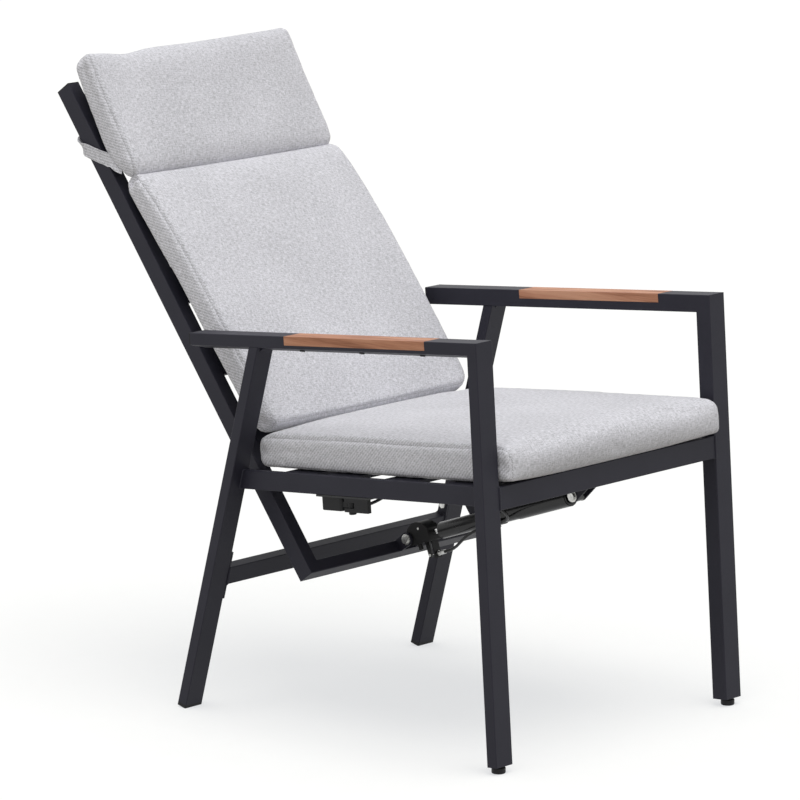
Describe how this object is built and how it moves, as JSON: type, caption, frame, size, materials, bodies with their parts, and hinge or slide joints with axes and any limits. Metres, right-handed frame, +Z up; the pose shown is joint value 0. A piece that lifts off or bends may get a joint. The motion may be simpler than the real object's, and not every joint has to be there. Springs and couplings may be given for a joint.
{
  "type": "reclining garden armchair",
  "caption": "Reclining garden armchair: aluminium frame, wooden arm inserts, loose cushions, and a back held by a lockable gas spring with a side release lever.",
  "frame": {"origin": "on the floor, under the middle of the chair's overall box as it stands reclined", "axes": "+X to the sitter's left, -Y the way the sitter faces, +Z up"},
  "size_m": [0.6, 0.994, 1.0308],
  "materials": {
    "frame_paint": "matt textured powder coat, graphite",
    "wood": "oiled hardwood, warm brown",
    "fabric": "light grey melange weave over foam",
    "black_plastic": "black moulded plastic",
    "black_steel": "black painted steel, satin",
    "bright_steel": "zinc plated steel",
    "chrome_rod": "ground and chromed",
    "cable_sheath": "black sheath"
  },
  "bodies": {
    "frame": {"arm_left": "frame_paint", "arm_right": "frame_paint", "arm_insert_left": "wood", "arm_insert_right": "wood", "insert_screws": "black_steel", "arm_end_caps": "black_plastic", "corner_gussets": "frame_paint", "front_leg_left": "frame_paint", "front_leg_right": "frame_paint", "leg_plugs": "black_plastic", "rear_leg_left": "frame_paint", "rear_leg_right": "frame_paint", "rear_leg_glides": "black_plastic", "seat_rail_left": "frame_paint", "seat_rail_right": "frame_paint", "front_rail": "frame_paint", "seat_slats": "frame_paint", "rear_stretcher": "frame_paint", "stretcher_plates": "frame_paint", "stretcher_bolts": "bright_steel", "pivot_bosses": "frame_paint", "pivot_bolts": "bright_steel", "pivot_washers": "bright_steel", "spring_front_bracket": "frame_paint", "spring_front_bolt": "bright_steel", "lever_plate": "black_steel", "lever_housing": "black_plastic", "lever_pin": "black_plastic", "seat_cushion": "fabric", "cable_front": "cable_sheath"},
    "backrest": {"stile_left": "frame_paint", "stile_right": "frame_paint", "stile_plugs": "black_plastic", "top_rail": "frame_paint", "bottom_bar": "frame_paint", "back_slats": "frame_paint", "pivot_bushes": "black_plastic", "spring_rear_bracket": "frame_paint", "spring_rear_bolt": "bright_steel", "back_cushion": "fabric", "head_cushion": "fabric", "cushion_strap": "fabric"},
    "gas_cylinder": {"gas_cylinder": "black_steel", "cylinder_gland": "black_plastic", "cylinder_sleeve": "black_steel", "cylinder_eye": "black_steel", "cable_guide": "black_plastic", "cable_rear": "cable_sheath"},
    "gas_rod": {"piston_rod": "chrome_rod", "piston": "bright_steel", "release_head": "black_plastic", "release_arm_pin": "bright_steel", "cable_ferrule": "bright_steel"},
    "valve_pin": {"valve_pin": "bright_steel"},
    "release_arm": {"release_arm": "black_steel", "cable_wire": "bright_steel"},
    "release_lever": {"release_lever": "black_plastic"},
    "front_foot_left": {"front_foot_left": "black_plastic"},
    "front_foot_right": {"front_foot_right": "black_plastic"}
  },
  "joints": [
    {"name": "recline", "type": "hinge", "parent": "frame", "child": "backrest", "pos_m": [0, 0.06601, 0.381], "axis": [1, 0, 0], "range_deg": [-3, 20], "deforming": ["back_cushion"]},
    {"name": "cylinder_swing", "type": "hinge", "parent": "frame", "child": "gas_cylinder", "pos_m": [0, -0.40597, 0.37651], "axis": [1, 0, 0], "range_deg": [-3.1, 0.5], "deforming": ["cable_front"]},
    {"name": "rod_stroke", "type": "slide", "parent": "gas_cylinder", "child": "gas_rod", "axis": [0, 0.9474, -0.3199], "range_m": [-0.009, 0.059], "deforming": ["cable_rear"]},
    {"name": "lever_swing", "type": "hinge", "parent": "frame", "child": "release_lever", "pos_m": [-0.266, -0.17414, 0.37325], "axis": [0, 0.0767, 0.9971], "range_deg": [0, 25], "stiffness_Nm_per_rad": 0.8, "springref_deg": -11.46},
    {"name": "arm_pull", "type": "hinge", "parent": "gas_rod", "child": "release_arm", "pos_m": [0, -0.08566, 0.28102], "axis": [-1, 0, 0], "range_deg": [0, 6.1]},
    {"name": "valve_press", "type": "slide", "parent": "gas_rod", "child": "valve_pin", "axis": [0, -0.9474, 0.3199], "range_m": [0, 0.0014]},
    {"name": "foot_level_left", "type": "slide", "parent": "frame", "child": "front_foot_left", "axis": [0, 0, -1], "range_m": [0, 0.006]},
    {"name": "foot_level_right", "type": "slide", "parent": "frame", "child": "front_foot_right", "axis": [0, 0, -1], "range_m": [0, 0.006]}
  ],
  "couplings": [
    {"joint": "cylinder_swing", "follows": "recline", "ratio": -0.15},
    {"joint": "rod_stroke", "follows": "recline", "m_per_rad": 0.167},
    {"joint": "arm_pull", "follows": "lever_swing", "ratio": 0.24},
    {"joint": "valve_press", "follows": "lever_swing", "m_per_rad": 0.00312}
  ]
}
